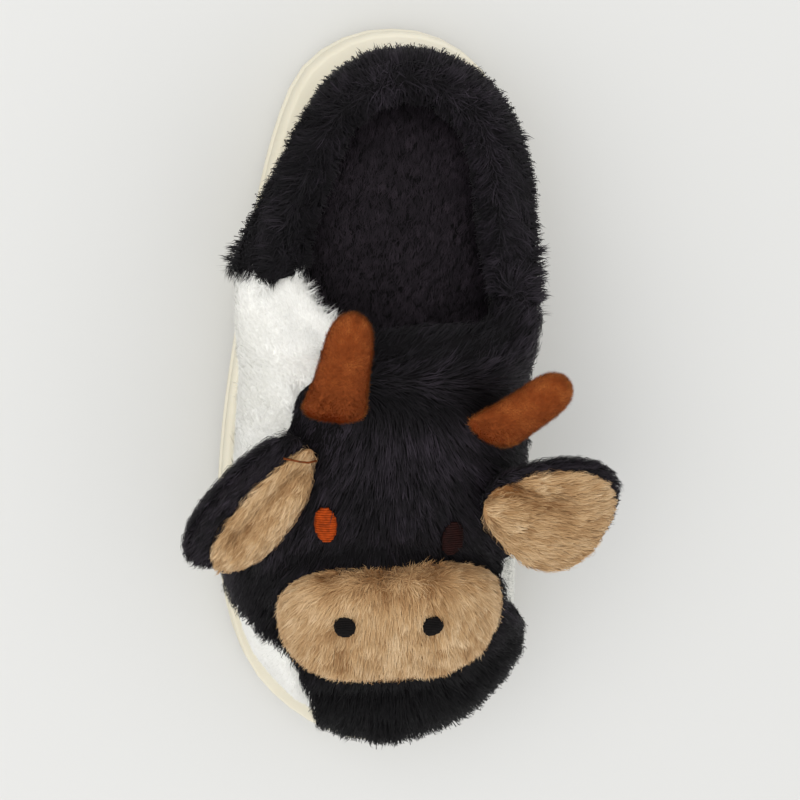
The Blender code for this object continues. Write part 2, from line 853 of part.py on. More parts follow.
def fur_panel(name, carrier, spans, low_edge, inside, slant, finish):
    """A panel over the given stations of each side, shared across the toe, ridge, throat and heel.

    The slant leans its first edge on the outer side towards the heel, by rows of way and station."""
    front = round(FRONT_SHARE * FUR_COLUMNS)
    tops = (FUR_ROWS, FUR_ROWS + ROLL_ROWS + 1)
    spots, cells = {}, []

    def named(side, col, row):
        return corner_name(side, col, row, FUR_COLUMNS, front, tops)

    for side, (first, last) in spans.items():
        cols = range(round(first * FUR_COLUMNS), round(last * FUR_COLUMNS) + 1)
        lines = {}
        for col in cols:
            station = {cols[0]: first, cols[-1]: last}.get(col, col / FUR_COLUMNS)
            lean = max(1 - (col - cols[0]) / SLANT_COLUMNS, 0.0) if side < 0 else 0.0
            low = low_edge(side, station) + (0.012 if col % 2 else 0.0)
            ways = fur_ways(low, inside if col >= front else None)
            lines[col] = [(station + lean * float(np.interp(way, *zip(*slant))), way) for way in ways]
        for col, line in lines.items():
            for row, (station, way) in enumerate(line):
                here = column(side, station)
                near = [line[row + step] for step in (-1, 1) if 0 <= row + step < len(line)]
                for other in (lines.get(col - 1, []), lines.get(col + 1, [])):
                    near += other[max(row - 1, 0) : row + 2]
                depth = pile_depth(here, way) + tuft(col, row)
                rise = GAP + min(max(bow(side, (station, way), stop) for stop in near), depth - THINNEST_PILE)
                spots[named(side, col, row)] = (wall_point(here, way, rise), wall_point(here, way, GAP + depth))
        for col in cols[:-1]:
            rows = min(len(lines[col]), len(lines[col + 1])) - 1
            for row in range(rows):
                corners = ((col, row), (col + 1, row), (col + 1, row + 1), (col, row + 1))
                cells.append([named(side, c, r) for c, r in corners])
    return shell(name, cells, spots.get, finish, carrier)


def head_edge(side, station):
    rows = HEAD_EDGE_OUTER if side < 0 else HEAD_EDGE_INNER
    return float(np.interp(station, [row[0] for row in rows], [row[1] for row in rows]))


def collar_edge(side, station):
    return HEAD_EDGE_OUTER[0][1]


# Pads that are seated on what carries them


def surface_of(*things):
    """A tree of the outer faces, to seat pieces on."""
    points, faces = [], []
    for thing in things:
        start = len(points)
        points += [vertex.co.copy() for vertex in thing.data.vertices]
        thing.data.calc_loop_triangles()
        faces += [[start + index for index in face.vertices] for face in thing.data.loop_triangles]
    return BVHTree.FromPolygons(points, faces)


def disc(rings, spokes, outline):
    """Places on a flat disc: its middle, then rings out to the edge, which outline gives for each angle."""
    places = [(0.0, 0.0, 0.0)]
    for ring_index in range(1, rings + 1):
        reach = math.sin(ring_index / rings * math.pi / 2)
        for spoke in range(spokes):
            a, b = outline(2 * math.pi * spoke / spokes)
            places.append((a * reach, b * reach, reach))
    cells = [[0, 1 + spoke, 1 + (spoke + 1) % spokes] for spoke in range(spokes)]
    for ring_index in range(1, rings):
        near, far = 1 + (ring_index - 1) * spokes, 1 + ring_index * spokes
        for spoke in range(spokes):
            after = (spoke + 1) % spokes
            cells.append([near + spoke, far + spoke, far + after, near + after])
    return places, cells


def frame_from(normal, along):
    """Three square directions: across, along and off the face."""
    off = Vector(normal).normalized()
    ahead = (Vector(along) - off * Vector(along).dot(off)).normalized()
    return ahead.cross(off), ahead, off


def seated_pad(name, carrier, middle, frame, outline, rise, size, finish):
    """A pad whose underside follows its carrier at the usual gap. Rise gives its height from middle to edge."""
    across, ahead, off = frame
    places, cells = disc(*size, outline)
    reach = 0.06

    def spot(index):
        a, b, share = places[index]
        above = middle + across * a + ahead * b + off * reach
        found, normal, _, _ = carrier.ray_cast(above, -off)
        under = found + off * PAD_GAP / max(normal.dot(off), 0.4)
        return under, under + off * rise(a, b, share)

    return shell(name, cells, spot, finish, carrier)


def seat_on(carrier, plan):
    """The point of the carrier right under a place in plan, and its normal there."""
    point, normal, _, _ = carrier.ray_cast(Vector((*place(*plan), 0.3)), Vector((0, 0, -1)))
    return point, normal


def superellipse(width, height, power):
    def outline(angle):
        a = math.copysign(abs(math.cos(angle)) ** (2 / power), math.cos(angle)) * width / 2
        b = math.copysign(abs(math.sin(angle)) ** (2 / power), math.sin(angle)) * height / 2
        return a, b

    return outline


def muzzle_outline(angle):
    """A rounded oblong, dipped in the middle of its upper edge and fuller below."""
    a, b = superellipse(MUZZLE_WIDTH, MUZZLE_HEIGHT, 2.5)(angle)
    share = 2 * a / MUZZLE_WIDTH
    if b > 0:
        b *= 0.92 - 0.10 * math.exp(-((share / 0.42) ** 2))
    return a, b


def muzzle(carrier):
    tilt = math.radians(MUZZLE_TILT)
    middle, _ = seat_on(carrier, MUZZLE_PLACE)
    frame = frame_from((0.0, -math.sin(tilt), math.cos(tilt)), (-0.03, 1.0, 0.0))

    def rise(a, b, share):
        edge = 0.30 * MUZZLE_CROWN
        crown = (MUZZLE_CROWN - edge) * math.sqrt(max(1 - share**2.4, 0.0))
        return edge + crown + tuft(a * 700, b * 700) * (1 - share)

    tan = material("tan_plush", (0.47, 0.29, 0.14), 0.9)
    return seated_pad("muzzle", carrier, middle, frame, muzzle_outline, rise, (6, 28), tan)


def embroidery(name, carrier, plan, width, height, thickness, color):
    """A small oval of satin stitch, domed a little."""
    middle, normal = seat_on(carrier, plan)
    frame = frame_from(normal, (0.0, 1.0, 0.0))

    def rise(a, b, share):
        return thickness * (1 - 0.55 * share * share)

    finish = material(name + "_thread", color, 0.6)
    outline = superellipse(width, height, 2.0)
    seated_pad(name, carrier, middle, frame, outline, rise, (2, 14), finish)


# Ears


def ear_outline(angle):
    """A leaf round its middle, a little squared: narrower where it is sewn in, and round at its tip."""
    width, length = superellipse(1.0, 1.0, 2.3)(angle)
    width *= 0.90 + 0.32 * length - 0.48 * length * length
    if length < 0:
        width *= 1 + 0.30 * length
    return width * EAR_WIDTH, length * EAR_LENGTH


def ear_layer(width, shift, low, high, sheet):
    """The two skins of one leaf of the ear. Low and high are its edges off the seam between face and back."""
    inset = (1 - width) * 0.2

    def outline(angle):
        a, b = ear_outline(angle)
        return a * width, b * (1 - inset)

    places, cells = disc(3, 18, outline)
    spots = []
    for a, b, share in places:
        puff = 0.25 + 0.75 * math.sqrt(max(1 - share**3, 0.0))
        seam, off = sheet(a + shift * EAR_WIDTH, b)
        under = low * puff if abs(low) > abs(high) else low
        over = high * puff if abs(high) > abs(low) else high
        spots.append((seam + off * under, seam + off * over))
    return spots, cells


def slide_to(carrier, layers, way):
    """How far the layers stand out along the way when they come to rest at the usual gap from their carrier."""
    shift, step = 0.05, 0.001
    points = [spot for spots, _ in layers for pair in spots for spot in pair]
    while step > 0.00005:
        tried = shift - step
        near = min(carrier.find_nearest(point + way * tried)[3] for point in points)
        if near > GAP * 1.5 and tried > -0.02:
            shift = tried
        else:
            step /= 4
    return shift


def ear(name, carrier, root, tip, stretch, face_to, pleat, face_width, face_shift, finishes):
    """Two sewn leaves: a tan face, set in, on a thicker black back."""
    across, ahead, off = frame_from(face_to, on_vamp(*tip) - on_vamp(*root))
    toeward = math.copysign(1, -across.y)
    middle = on_vamp(*root) + ahead * EAR_LENGTH * stretch / 2

    def sheet(a, b):
        """The seam between face and back, cupped across and drooping towards the tip."""
        cup = EAR_CUP * (2 * a / EAR_WIDTH) ** 2
        along = 0.5 + b / EAR_LENGTH
        spot = middle + across * a * toeward + ahead * b * stretch
        return spot + off * (cup - EAR_DROOP * along * along), off

    face = ear_layer(pleat * face_width, pleat * face_shift, GAP / 2, EAR_FACE, sheet)
    back = ear_layer(pleat, 0.0, -EAR_BACK, -GAP / 2, sheet)
    up = Vector((0.0, 0.0, 1.0))
    shift = up * slide_to(carrier, (face, back), up)
    for kind, (spots, cells) in (("face", face), ("back", back)):
        moved = [(low + shift, high + shift) for low, high in spots]
        shell(f"{name}_{kind}", cells, moved.__getitem__, finishes[kind])


def horn(name, carrier, stops, flat, finish):
    """A stuffed horn along a bent line of stops, flattened across the way that flat points."""
    track = Track([on_vamp(*stop) for stop in stops])
    spokes = 14
    rings = []
    for along, width, thickness in HORN_ROWS:
        middle = Vector(track.at(along))
        run = Vector(track.at(min(along + 0.02, 1.0)) - track.at(max(along - 0.02, 0.0))).normalized()
        side = (Vector(flat) - run * run.dot(Vector(flat))).normalized()
        thin = run.cross(side)
        loop = []
        for spoke in range(spokes):
            angle = 2 * math.pi * spoke / spokes
            wide = side * math.cos(angle) * HORN_WIDTH / 2 * width
            loop.append(middle + wide + thin * math.sin(angle) * HORN_THICKNESS / 2 * thickness)
        rings.append(loop)
    down = Vector((0.0, 0.0, -1.0))
    foot = []
    for point in [*rings[0], sum(rings[0], Vector()) / spokes]:
        found, normal, _, _ = carrier.ray_cast(point - down * 0.02, down)
        foot.append(found - down * PAD_GAP / max(abs(normal.dot(down)), 0.6))
    rings[0] = foot[:-1]
    for point in [point for loop in rings[1:] for point in loop]:
        found, _, _, _ = carrier.ray_cast(point - down * 0.02, down)
        if found:
            point.z = max(point.z, found.z + 2 * PAD_GAP)
    points = [point for loop in rings for point in loop]
    points += [foot[-1], Vector(track.at(1.0))]
    faces = []
    for level in range(len(rings) - 1):
        for spoke in range(spokes):
            after = (spoke + 1) % spokes
            low, high = level * spokes, (level + 1) * spokes
            faces.append((low + spoke, low + after, high + after, high + spoke))
    last = (len(rings) - 1) * spokes
    for spoke in range(spokes):
        after = (spoke + 1) % spokes
        faces.append((len(points) - 2, after, spoke))
        faces.append((len(points) - 1, last + spoke, last + after))
    pairs = [(point, point - down) for point in points]
    lift_clear(carrier, faces, pairs)
    return add_object(name, [point for point, _ in pairs], faces, finish)


def main():
    clear_scene()
    sole()
    insole()
    wall = upper()
    padding = surface_of(wall)
    black = material("black_plush", (0.010, 0.009, 0.011), 0.95)
    head_spans = {-1: (0.0, HEAD_END_OUTER), 1: (0.0, HEAD_END_INNER)}
    head = fur_panel("fur_head", padding, head_spans, head_edge, HEAD_INSIDE, STRAIGHT, black)
    collar_spans = {-1: (COLLAR_END_OUTER, 1.0), 1: (HEAD_END_INNER + PILE_SEAM, 1.0)}
    fur_panel("fur_collar", padding, collar_spans, collar_edge, COLLAR_INSIDE, COLLAR_SLANT, black)
    face = surface_of(head, wall)
    nose = muzzle(face)
    rust = (0.42, 0.10, 0.02)
    for name, plan in EYE_PLACES.items():
        embroidery(name, face, plan, EYE_WIDTH, EYE_HEIGHT, EYE_THICKNESS, rust)
    snout = surface_of(nose)
    for name, plan in NOSTRIL_PLACES.items():
        embroidery(name, snout, plan, NOSTRIL_SIZE, NOSTRIL_SIZE, NOSTRIL_THICKNESS, (0.012, 0.010, 0.010))
    ear_finishes = {"face": material("tan_ear_plush", (0.47, 0.29, 0.14), 0.9), "back": black}
    for name, rows in EARS.items():
        ear(name, face, **rows, finishes=ear_finishes)
    velvet = material("rust_velvet", (0.30, 0.075, 0.015), 0.85)
    for name, rows in HORNS.items():
        horn(name, face, **rows, finish=velvet)


main()
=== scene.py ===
# Looks of the plush slipper: pile on its soft pieces, satin stitch on eyes and nostrils, a matt foam sole.
# Metres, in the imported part's frame: the toe points to -Y, the heel to +Y and the outer side to -X.

import math

import bmesh
import bpy
import numpy as np
from mathutils import Matrix, Vector
from mathutils.bvhtree import BVHTree
from mathutils.kdtree import KDTree


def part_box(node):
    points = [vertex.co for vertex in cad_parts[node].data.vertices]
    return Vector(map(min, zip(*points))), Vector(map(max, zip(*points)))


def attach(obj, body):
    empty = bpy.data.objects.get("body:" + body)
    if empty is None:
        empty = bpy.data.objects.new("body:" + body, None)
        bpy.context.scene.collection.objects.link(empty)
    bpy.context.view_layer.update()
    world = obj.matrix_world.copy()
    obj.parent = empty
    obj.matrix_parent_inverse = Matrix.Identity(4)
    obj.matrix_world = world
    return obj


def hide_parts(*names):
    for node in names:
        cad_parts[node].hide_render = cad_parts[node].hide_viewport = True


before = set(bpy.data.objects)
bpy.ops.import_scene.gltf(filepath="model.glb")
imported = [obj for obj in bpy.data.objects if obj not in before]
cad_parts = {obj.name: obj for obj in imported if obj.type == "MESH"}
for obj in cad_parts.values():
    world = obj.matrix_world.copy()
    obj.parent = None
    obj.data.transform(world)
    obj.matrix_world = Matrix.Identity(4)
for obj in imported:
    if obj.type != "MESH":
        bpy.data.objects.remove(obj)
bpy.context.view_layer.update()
pileShare = 1.0

# Driving places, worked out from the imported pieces
soleLow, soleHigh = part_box("outsole")
muzzleLow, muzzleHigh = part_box("muzzle")
muzzleMiddle = (muzzleLow + muzzleHigh) / 2


# A place in plan: along from the heel, 0, to the toe, 1, and across from the outer side, 0, to the inner, 1
def onSole(along, across, height=0.0):
    x = soleLow.x + across * (soleHigh.x - soleLow.x)
    return np.array([x, soleHigh.y - along * (soleHigh.y - soleLow.y), height])


crown = onSole(0.450, 0.515)
throatMiddle = onSole(0.340, 0.560)
heelMiddle = onSole(0.185, 0.530)
cheekLine = onSole(0.700, 0.500)
earLine = onSole(0.490, 0.500)

down = Vector((0.0, 0.0, -1.0))
inPlan = np.array([1.0, 1.0, 0.0])
white = (1.0, 1.0, 1.0, 1.0)
mergeWithin = 0.00002
flush = 0.0  # under short pile, where the ground keeps the form of its node


# Small tools for arrays, colours and nodes
def unit(vectors):
    return vectors / np.maximum(np.linalg.norm(vectors, axis=1, keepdims=True), 1e-12)


def smoothStep(values, low, high):
    share = np.clip((values - low) / (high - low), 0.0, 1.0)
    return share * share * (3 - 2 * share)


def linear(red, green, blue):
    shares = [value / 255 for value in (red, green, blue)]
    values = [share / 12.92 if share <= 0.04045 else ((share + 0.055) / 1.055) ** 2.4 for share in shares]
    return (*values, 1.0)


def darker(color, share):
    return tuple(share * value for value in color[:3]) + (1.0,)


def newMaterial(name):
    made = bpy.data.materials.new(name)
    made.use_nodes = True
    tree = made.node_tree
    return made, tree, tree.nodes["Principled BSDF"]


def addNode(tree, kind, settings=None, inputs=None):
    node = tree.nodes.new(kind)
    for key, value in (settings or {}).items():
        setattr(node, key, value)
    for key, value in (inputs or {}).items():
        if isinstance(value, bpy.types.NodeSocket):
            tree.links.new(value, node.inputs[key])
        else:
            node.inputs[key].default_value = value
    return node


def sums(tree, terms, total):
    for value, share in terms:
        inputs = {0: value, 1: share, 2: total}
        total = addNode(tree, "ShaderNodeMath", {"operation": "MULTIPLY_ADD"}, inputs).outputs[0]
    return total


def ramp(tree, factor, stops):
    node = addNode(tree, "ShaderNodeValToRGB", inputs={"Fac": factor})
    elements = node.color_ramp.elements
    while len(elements) < len(stops):
        elements.new(0.5)
    for element, (place, color) in zip(elements, stops):
        element.position = place
        element.color = color
    return node.outputs["Color"]


def noise(tree, scale, detail=2.0):
    place = addNode(tree, "ShaderNodeTexCoord").outputs["Object"]
    inputs = {"Vector": place, "Scale": scale, "Detail": detail}
    return addNode(tree, "ShaderNodeTexNoise", inputs=inputs).outputs["Fac"]


def bump(tree, shader, height, strength, distance):
    inputs = {"Height": height, "Strength": strength, "Distance": distance}
    tree.links.new(addNode(tree, "ShaderNodeBump", inputs=inputs).outputs["Normal"], shader.inputs["Normal"])


def setGloss(shader, gloss):
    shader.inputs["Roughness"].default_value = gloss["roughness"]
    shader.inputs["Specular IOR Level"].default_value = gloss["specular"]
    shader.inputs["Sheen Weight"].default_value = gloss["sheen"]
    shader.inputs["Sheen Roughness"].default_value = 0.5
    shader.inputs["Sheen Tint"].default_value = gloss.get("tint", white)


# Pile whose hairs differ a little, darker at the root and lighter at the tip, with patches brushed either way
def pileMaterial(name, tones, gloss):
    made, tree, shader = newMaterial(name)
    shade = addNode(tree, "ShaderNodeAttribute", {"attribute_name": "shade"}).outputs["Fac"]
    tip = addNode(tree, "ShaderNodeAttribute", {"attribute_name": "tip"}).outputs["Fac"]
    brushed = noise(tree, gloss["patchScale"])
    terms = ((shade, gloss["mixed"]), (tip, gloss["tipped"]), (brushed, gloss["brushed"]))
    stops = tuple(zip(gloss["stops"], tones))
    tree.links.new(ramp(tree, sums(tree, terms, gloss["base"]), stops), shader.inputs["Base Color"])
    setGloss(shader, gloss)
    return made


# The knitted ground under the pile
knit = {"grain": 900.0, "shaded": 0.75, "from": 0.3, "to": 0.8, "bump": (0.4, 0.0006)}
knitGloss = {"roughness": 0.95, "specular": 0.15, "sheen": 0.0}


def groundMaterial(name, color):
    made, tree, shader = newMaterial(name)
    grain = noise(tree, knit["grain"])
    stops = ((knit["from"], darker(color, knit["shaded"])), (knit["to"], color))
    tint = ramp(tree, grain, stops)
    tree.links.new(tint, shader.inputs["Base Color"])
    setGloss(shader, knitGloss)
    bump(tree, shader, grain, *knit["bump"])
    return made


# The colours of the plush, from dark to light
tones = {
    "black": (linear(3, 2, 4), linear(17, 14, 18), linear(58, 51, 60)),
    "footbed": (linear(12, 9, 12), linear(34, 28, 34), linear(64, 55, 63)),
    "tan": (linear(132, 88, 48), linear(196, 158, 112), linear(242, 216, 176)),
    # The white's grey first stop is reached where painted shade darkens the white
    "white": (linear(124, 125, 116), linear(240, 239, 231), linear(251, 250, 245), linear(255, 255, 252)),
    "rust": (linear(92, 34, 8), linear(146, 68, 26), linear(204, 122, 62)),
}
softGloss = {
    "patchScale": 34.0,
    "stops": (0.15, 0.55, 1.0),
    "mixed": 0.65,
    "tipped": 0.25,
    "brushed": 0.35,
    "base": 0.0,
    "roughness": 0.62,
    "specular": 0.15,
    "sheen": 0.03,
}
paleGloss = {**softGloss, "roughness": 0.80, "specular": 0.12, "sheen": 0.05}
whiteGloss = {**paleGloss, "stops": (0.0, 0.12, 0.5, 1.0), "tipped": 0.5, "mixed": 0.4, "brushed": 0.15}
velvetGloss = {
    **softGloss,
    "patchScale": 170.0,
    "mixed": 0.25,
    "brushed": 1.60,
    "tipped": -0.15,
    "base": -0.20,
    "roughness": 0.80,
    "specular": 0.08,
    "sheen": 0.55,
    "tint": linear(236, 166, 96),
}

materials = {
    "blackPile": pileMaterial("black_pile", tones["black"], softGloss),
    "footbedPile": pileMaterial("footbed_pile", tones["footbed"], softGloss),
    "tanPile": pileMaterial("tan_pile", tones["tan"], paleGloss),
    "whitePile": pileMaterial("white_pile", tones["white"], whiteGloss),
    "rustPile": pileMaterial("rust_velvet_pile", tones["rust"], velvetGloss),
    "blackGround": groundMaterial("black_ground", linear(12, 10, 12)),
    "tanGround": groundMaterial("tan_ground", linear(166, 128, 88)),
    "whiteGround": groundMaterial("white_ground", linear(250, 249, 243)),
    "rustGround": groundMaterial("rust_ground", linear(138, 68, 28)),
}


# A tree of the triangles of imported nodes, to cast rays at
def treeOf(*names):
    points, faces = [], []
    for name in names:
        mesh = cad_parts[name].data
        start = len(points)
        points += [vertex.co.copy() for vertex in mesh.vertices]
        faces += [[start + index for index in face.vertices] for face in mesh.polygons]
    return BVHTree.FromPolygons(points, faces)


wallTree = treeOf("upper")
furTree = treeOf("fur_head", "fur_collar")
sewnTree = treeOf("muzzle", "insole", "outsole")


def readVectors(mesh, what):
    values = np.empty(len(mesh.vertices) * 3, np.float32)
    mesh.vertices.foreach_get(what, values)
    return values.reshape(-1, 3).astype(float)


def writePlaces(mesh, places):
    mesh.vertices.foreach_set("co", places.astype(np.float32).ravel())


# How far places lie, seen from above, from a line of stops on the sole
def awayFrom(places, line):
    stops = np.array([onSole(*stop)[:2] for stop in line])
    away = np.full(len(places), 1.0)
    for first, second in zip(stops, stops[1:]):
        run = second - first
        share = np.clip((places[:, :2] - first) @ run / (run @ run), 0.0, 1.0)
        away = np.minimum(away, np.linalg.norm(places[:, :2] - first - share[:, None] * run, axis=1))
    return away


# 0 at roots within half the radius of a spot on the sole, rising to 1 at the radius
def outside(roots, spot, radius):
    away = np.linalg.norm((roots - onSole(*spot))[:, :2], axis=1)[:, None]
    return smoothStep(away, radius / 2, radius)


# The form of a crease across its width: how narrow its trough is, and its ridge beside it
crease = {"trough": 2.2, "ridge": 0.35, "ridgeAt": 1.35, "ridgeNarrow": 4.0, "facingUp": 0.35}


# Presses soft troughs into the upward faces of a mesh, each with a low ridge beside it
def pressCreases(mesh, creases):
    places, normals = readVectors(mesh, "co"), readVectors(mesh, "normal")
    facingUp = smoothStep(normals[:, 2], 0.0, crease["facingUp"])
    for line, width, depth in creases:
        off = awayFrom(places, line) / width
        ridge = crease["ridge"] * np.exp(-crease["ridgeNarrow"] * (off - crease["ridgeAt"]) ** 2)
        shape = ridge - np.exp(-crease["trough"] * off**2)
        places += normals * (shape * depth * facingUp)[:, None]
    writePlaces(mesh, places)
    mesh.update()


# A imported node's triangles are loose, so a copy is merged before it is shaped
def mergedCopy(node):
    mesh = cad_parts[node].data.copy()
    shape = bmesh.new()
    shape.from_mesh(mesh)
    bmesh.ops.remove_doubles(shape, verts=shape.verts, dist=mergeWithin)
    return mesh, shape


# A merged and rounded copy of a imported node, drawn in so that its pile fills the node's form
def softCopy(node, shrink, creases, finish):
    mesh, shape = mergedCopy(node)
    shape.to_mesh(mesh)
    shape.free()
    made = bpy.data.objects.new(f"{node}_ground", mesh)
    bpy.context.scene.collection.objects.link(made)
    rounding = made.modifiers.new("rounding", "SUBSURF")
    rounding.levels = rounding.render_levels = 1
    graph = bpy.context.evaluated_depsgraph_get()
    rounded = bpy.data.meshes.new_from_object(made.evaluated_get(graph))
    made.modifiers.clear()
    made.data = rounded
    writePlaces(rounded, readVectors(rounded, "co") - readVectors(rounded, "normal") * shrink)
    pressCreases(rounded, creases)
    rounded.materials.clear()
    rounded.materials.append(materials[finish])
    rounded.shade_smooth()
    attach(made, "root")
    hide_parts(node)
    return made


# The triangles of a surface, to scatter roots on, and a tree of it, to lay hairs along
class Ground:
    def __init__(self, thing, keep):
        mesh = thing.data
        mesh.calc_loop_triangles()
        corners = np.empty(len(mesh.loop_triangles) * 3, np.int32)
        mesh.loop_triangles.foreach_get("vertices", corners)
        corners = corners.reshape(-1, 3)
        places = readVectors(mesh, "co")
        self.tree = BVHTree.FromPolygons(places.tolist(), corners.tolist())
        self.places, self.normals = places[corners], readVectors(mesh, "normal")[corners]
        facing = unit(self.normals.mean(axis=1))
        kept = [keep(Vector(place), Vector(way)) for place, way in zip(self.places.mean(axis=1), facing)]
        self.places, self.normals = self.places[kept], self.normals[kept]
        edges = self.places[:, 1:] - self.places[:, :1]
        self.areas = np.linalg.norm(np.cross(edges[:, 0], edges[:, 1]), axis=1) / 2

    def scatter(self, count, draws):
        picked = draws.choice(len(self.areas), count, p=self.areas / self.areas.sum())
        first, second = draws.random(count), draws.random(count)
        over = first + second > 1
        first[over], second[over] = 1 - first[over], 1 - second[over]
        shares = np.stack([1 - first - second, first, second], axis=1)[:, :, None]
        return (self.places[picked] * shares).sum(axis=1), unit((self.normals[picked] * shares).sum(axis=1))

    # Brings places towards the surface, to a height over it
    def laid(self, places, height, share):
        found = [self.tree.find_nearest(place)[:2] for place in places.tolist()]
        spots = np.array([spot for spot, _ in found])
        ways = np.array([way for _, way in found])
        return places + (spots + ways * height - places) * share


# What all hairs share: their bend, in shares of their length and lift, and how much they differ
hair = {
    "lengths": (0.45, 1.5),
    "lifts": (0.3, 1.8),
    "liftUneven": 0.3,
    "bendAlong": 0.45,
    "bendLift": 0.55,
    "tipAlong": 0.90,
    "fewestLocks": 4,
    "pulls": (0.3, 1.0),
    "bendPull": 0.3,
    "tilt": 0.7,
    "widths": (0.7, 1.2),
    "quickWidth": 1.5,
    "sunk": 0.0004,
    "taper": 0.8,
    "shade": (0.5, 0.22),
    "shadeByLock": 0.5,
    "catchLight": 0.25,
}


def addFloats(mesh, name, values):
    mesh.attributes.new(name, "FLOAT", "POINT").data.foreach_set("value", values.astype(np.float32))


# Each hair's bend and tip, and the hair that leads its lock
def bendHairs(ground, roots, normals, along, look, draws):
    count = len(roots)
    size = look["length"] * np.clip(draws.normal(1, look["uneven"], count), *hair["lengths"])[:, None]
    for spot, radius, share in look["short"]:
        size = size * (share + (1 - share) * outside(roots, spot, radius))
    lift = look["lift"] * np.clip(draws.normal(1, hair["liftUneven"], count), *hair["lifts"])[:, None]
    bends = roots + (along * hair["bendAlong"] + normals * lift * hair["bendLift"]) * size
    tips = roots + (along * hair["tipAlong"] + normals * lift * look["hold"]) * size
    leaders = draws.choice(count, max(int(look["locks"]), hair["fewestLocks"]), replace=False)
    near = KDTree(len(leaders))
    for index, leader in enumerate(leaders):
        near.insert(roots[leader], index)
    near.balance()
    chief = leaders[[near.find(root)[1] for root in roots]]
    pull = look["gather"] * draws.uniform(*hair["pulls"], count)[:, None]
    tips += (tips[chief] - tips) * pull
    bends += (bends[chief] - bends) * pull * hair["bendPull"]
    if look["laid"]:
        laid = look["laid"] * (1 - look["wild"] * draws.random(count)[chief] ** 2)[:, None]
        for spot, radius in look["loose"]:
            laid = laid * outside(roots, spot, radius)
        bends = ground.laid(bends, lift * hair["bendLift"] * size, laid)
        tips = ground.laid(tips, lift * look["hold"] * size, laid)
    return bends, tips, chief


# Tapered hairs that lean the way they are combed, follow the surface and gather into locks
def growPile(name, ground, comb, look, finish):
    draws = np.random.default_rng(look["seed"])
    count = int(look["count"] * pileShare)
    roots, normals = ground.scatter(count, draws)
    ways = comb(roots, normals) + draws.normal(0, look["stray"], (count, 3))
    along = unit(ways - normals * (ways * normals).sum(axis=1, keepdims=True))
    bends, tips, chief = bendHairs(ground, roots, normals, along, look, draws)
    side = unit(np.cross(along, normals))
    tilt = draws.uniform(-hair["tilt"], hair["tilt"], count)[:, None]
    half = (side * np.cos(tilt) + normals * np.sin(tilt)) * look["width"] / 2
    half *= draws.uniform(*hair["widths"], count)[:, None] * (1.0 if pileShare == 1 else hair["quickWidth"])
    sunk = roots - normals * hair["sunk"]
    if look["bent"]:
        across = half * hair["taper"]
        corners = [sunk - half, sunk + half, bends - across, bends + across, tips]
        loops, rise = [[0, 1, 3, 2], [2, 3, 4]], [0.0, 0.0, 0.5, 0.5, 1.0]
    else:
        corners = [sunk - half, sunk + half, tips]
        loops, rise = [[0, 1, 2]], [0.0, 0.0, 1.0]
    first = np.arange(count)[:, None] * len(corners)
    faces = [face for loop in loops for face in (first + np.array([loop])).tolist()]
    mesh = bpy.data.meshes.new(name)
    mesh.from_pydata(np.stack(corners, axis=1).reshape(-1, 3).tolist(), [], faces)
    shade = np.clip(draws.normal(*hair["shade"], count), 0, 1)
    shade = shade * (1 - hair["shadeByLock"]) + shade[chief] * hair["shadeByLock"]
    # Painted shade: each hair's tone is lowered near the look's lines of shade
    for line, width, amount in look["paintedShade"]:
        shade -= amount * np.exp(-((awayFrom(roots, line) / width) ** 2))
    addFloats(mesh, "shade", np.repeat(shade, len(corners)))
    addFloats(mesh, "tip", np.tile(rise, count))
    mesh.shade_smooth()
    glint = side * draws.normal(0, look["sparkle"], count)[:, None]
    facing = unit(normals + along * hair["catchLight"] + glint)
    mesh.normals_split_custom_set_from_vertices(np.repeat(facing, len(corners), axis=0).tolist())
    mesh.materials.append(materials[finish])
    made = bpy.data.objects.new(name, mesh)
    bpy.context.scene.collection.objects.link(made)
    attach(made, "root")
    print(f"{name}: {count} hairs")


longPile = {
    "bent": True,
    "lift": 0.36,
    "hold": 0.50,
    "gather": 0.55,
    "stray": 0.16,
    "uneven": 0.22,
    "sparkle": 0.34,
    "laid": 0.80,  # how closely the hairs lie along the surface
    "wild": 0.6,  # how much of that some locks lack
    "loose": (),  # spots where no hair is laid, and their radii
    # lines of painted shade: hairs darker along a line, with a width and an amount
    "paintedShade": (),  # lines of darker hairs, with a width and an amount
    "short": (),  # spots of shorter hairs, with a radius and a share of the length
}
shortPile = {
    "bent": False,
    "lift": 0.55,
    "hold": 0.80,
    "gather": 0.35,
    "stray": 0.25,
    "uneven": 0.25,
    "sparkle": 0.12,
    "laid": 0.0,
    "paintedShade": (),
    "short": (),
}


# The pile is parted along a crease, and painted shade darkens the hairs there
def paintedCreaseShade(creases, amount):
    return tuple((line, width * 0.9, amount) for line, width, depth in creases)


# Which faces carry pile: how far to look from a face, and how steep a face may be
reach = {
    "onWall": 0.0014,  # a panel's face nearer the wall than this is its back
    "offFace": 0.0004,  # where a ray starts, over a panel's face
    "covered": 0.0040,  # a face with a sewn piece nearer than this over it is hidden
    "offWall": 0.0020,  # where a ray across the inside starts
    "inside": 0.14,  # the most that the wall's inside is apart
    "underPanel": 0.0090,  # the wall with a panel nearer than this over it is hidden
}
footbedUp = 0.3
turnedUnder = -0.6


def everywhere(place, normal):
    return True


def topOnly(place, normal):
    return normal.z > footbedUp


# The outside of a panel of pile, not the skin on the wall, nor what the muzzle hides
def outerSkin(place, normal):
    if wallTree.find_nearest(place)[3] < reach["onWall"]:
        return False
    return sewnTree.ray_cast(place + normal * reach["offFace"], normal, reach["covered"])[0] is None


# The lining, and the seam on the inner side where two black panels meet
def isDark(place, normal):
    atSeam = place.x > 0 and place.y > cheekLine[1]
    facesInside = wallTree.ray_cast(place + normal * reach["offWall"], normal, reach["inside"])[0] is not None
    return atSeam or normal.z < turnedUnder or facesInside


def isBare(place, normal):
    return furTree.ray_cast(place, normal, reach["underPanel"])[0] is None


